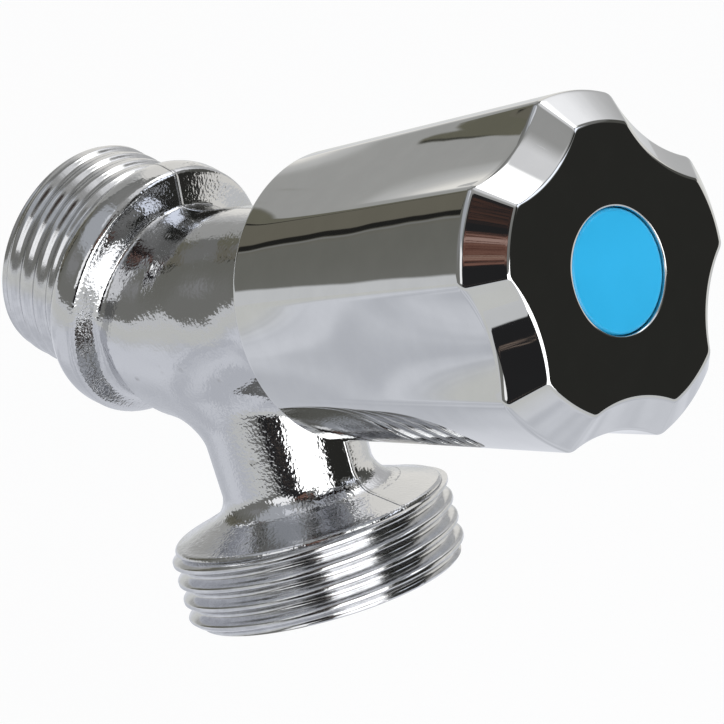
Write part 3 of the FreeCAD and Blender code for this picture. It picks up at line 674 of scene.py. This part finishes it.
room_glow_tone = patch(174, 200, -40, 12.3, 1.2).tint(room_glow_tone, (0.175, 0.17, 0.13))
room_glow_tone = patch(-200, -163, -40, 17, 2).tint(room_glow_tone, (0.175, 0.165, 0.13))
room_glow_tone = patch(-179.4, -178.2, -10, 14, 0.25).tint(room_glow_tone, (0.03, 0.03, 0.025))
room_glow_tone = patch(-167.7, -165.3, -10, 14, 0.35).tint(room_glow_tone, (0.02, 0.02, 0.018))
room_glow_tone = patch(-165.1, -164.4, -10, 14, 0.3).tint(room_glow_tone, (0.26, 0.26, 0.25))
left_wall = bearing.step(-160, -140).tint((0.185, 0.185, 0.165), (0.22, 0.22, 0.205))
room_glow_tone = patch(-164, -92, -40, 60, 2).tint(room_glow_tone, left_wall)
room_glow_tone = patch(-144, -120, 9, 22, 5).tint(room_glow_tone, (0.29, 0.29, 0.29))
room_glow_tone = patch(-168, -85, 28, 62, 5).tint(room_glow_tone, (0.50, 0.52, 0.55))
room_glow_tone = patch(-152, -118, 53, 66, 2).tint(room_glow_tone, (0.88, 0.90, 0.95))
room_glow_tone = patch(-96, -68, 8, 40, 1.5).tint(room_glow_tone, (1.3, 1.3, 1.3))
ceiling = sight_y.step(-0.1, 0.1).tint((0.42, 0.42, 0.41), (0.92, 0.92, 0.93))
room_glow_tone = rise.step(64, 74).tint(room_glow_tone, ceiling)
curtain = (0.022, 0.022, 0.023)
room_glow_tone = patch(-68, -38, -14, 70, 1.0).tint(room_glow_tone, curtain)
weft_way = shade.node("ShaderNodeVectorMath", {0: sight, 1: (5, 5, 1)}, operation="MULTIPLY")
folds = rise + (shade.noise(weft_way, 20, 3.0) - 0.5) * 8
weave = shade.noise(weft_way, 36, 3.0).step(0.38, 0.62)
brown_cloth = weave.tint((0.11, 0.05, 0.038), (0.24, 0.125, 0.095))
room_glow_tone = patch(-62, -40, 36, 51, 1.0, folds).tint(room_glow_tone, brown_cloth)
room_glow_tone = patch(-62, -40, 46.5, 49, 0.6, folds).tint(room_glow_tone, (0.42, 0.28, 0.24))
room_glow_tone = patch(-62, -40, 38.5, 39.6, 0.4, folds).tint(room_glow_tone, (0.36, 0.25, 0.20))
shaded_cloth = weave.tint(curtain, (0.085, 0.045, 0.034))
room_glow_tone = patch(-62, -40, 56, 68, 1.5, folds).tint(room_glow_tone, shaded_cloth)
pale_seam = weave.tint(curtain, (0.22, 0.17, 0.14))
room_glow_tone = patch(-58, -42, 1.2, 2.6, 0.4, folds).tint(room_glow_tone, pale_seam)
room_glow_tone = patch(6, 60, -26, 32, 2).tint(room_glow_tone, doorway_dark)
room_glow_tone = patch(3, 23, 28, 56, 2).tint(room_glow_tone, doorway_dark)
room_glow_tone = patch(27, 68, 40, 60, 2.5).tint(room_glow_tone, sky_glow)
for left, high in ((50, 2.5), (61, 11)):
    room_glow_tone = patch(left, 102, -40, high, 1.5).tint(room_glow_tone, beige_wall)
room_glow_tone = patch(-38, 6, -14, 30, 0.8).tint(room_glow_tone, window_glow)
room_glow_tone = patch(80, 125, 50, 70, 4).tint(room_glow_tone, lamp_glow)
room_glow_tone = lower.tint(room_glow_tone, table_tone)
lit = shade.node("ShaderNodeEmission", {"Color": room_glow_tone, "Strength": 1.0})
wire(lit, room_glow.node_tree.nodes["Material Output"], "Surface")
room.data.materials.append(room_glow)
white_world = bpy.data.worlds.new("white_world")
white_world.use_nodes = True
white_world.node_tree.nodes["Background"].inputs["Color"].default_value = (1, 1, 1, 1)
bpy.context.scene.world = white_world


# Lamp: one broad soft box, high on the right of the camera, that fills the handle's face and lays the
# soft shadow. The chrome and the camera don't show it.
soft_box = bpy.data.lights.new("soft_box", "AREA")
soft_box.shape = "SQUARE"
soft_box.size = 0.35
soft_box.energy = 0.8
box_place = np.array((0.38, -0.10, 0.42))
box_light = bpy.data.objects.new("soft_box", soft_box)
bpy.context.scene.collection.objects.link(box_light)
box_light.visible_glossy = False
box_light.visible_camera = False


def aimed(place, target):
    """A matrix at a place whose -Z axis points to the target, with +Y as near up as it can be."""
    back = (place - target) / np.linalg.norm(place - target)
    right = np.cross((0, 0, 1), back)
    right /= np.linalg.norm(right)
    turned = np.eye(4)
    turned[:3, 0], turned[:3, 1], turned[:3, 2], turned[:3, 3] = right, np.cross(back, right), back, place
    return Matrix(turned.tolist())


box_light.matrix_world = aimed(box_place, np.array((0.03, 0.0, 0.0)))


# Camera: a long lens in front of the valve, to the left of its handle and above it. Its focal length
# is given in pixels of the square picture.
focal_pixels, picture_pixels = 4000, 724
lens = bpy.data.cameras.new("camera")
lens.sensor_width = 36.0
lens.lens = lens.sensor_width * focal_pixels / picture_pixels
lens.clip_start = 0.01
camera = bpy.data.objects.new("camera", lens)
bpy.context.scene.collection.objects.link(camera)
sight_right = (0.70733921, 0.70581493, 0.03868492)
sight_down = (0.36823081, -0.32120604, -0.87248653)
sight_ahead = (-0.60338819, 0.63138891, -0.48710443)
stand = (0.24396, -0.22377, 0.17582)
rows = [(sight_right[k], -sight_down[k], -sight_ahead[k], stand[k]) for k in range(3)]
camera.matrix_world = Matrix(rows + [(0, 0, 0, 1)])
bpy.context.scene.camera = camera
bpy.context.scene.view_settings.view_transform = "Standard"
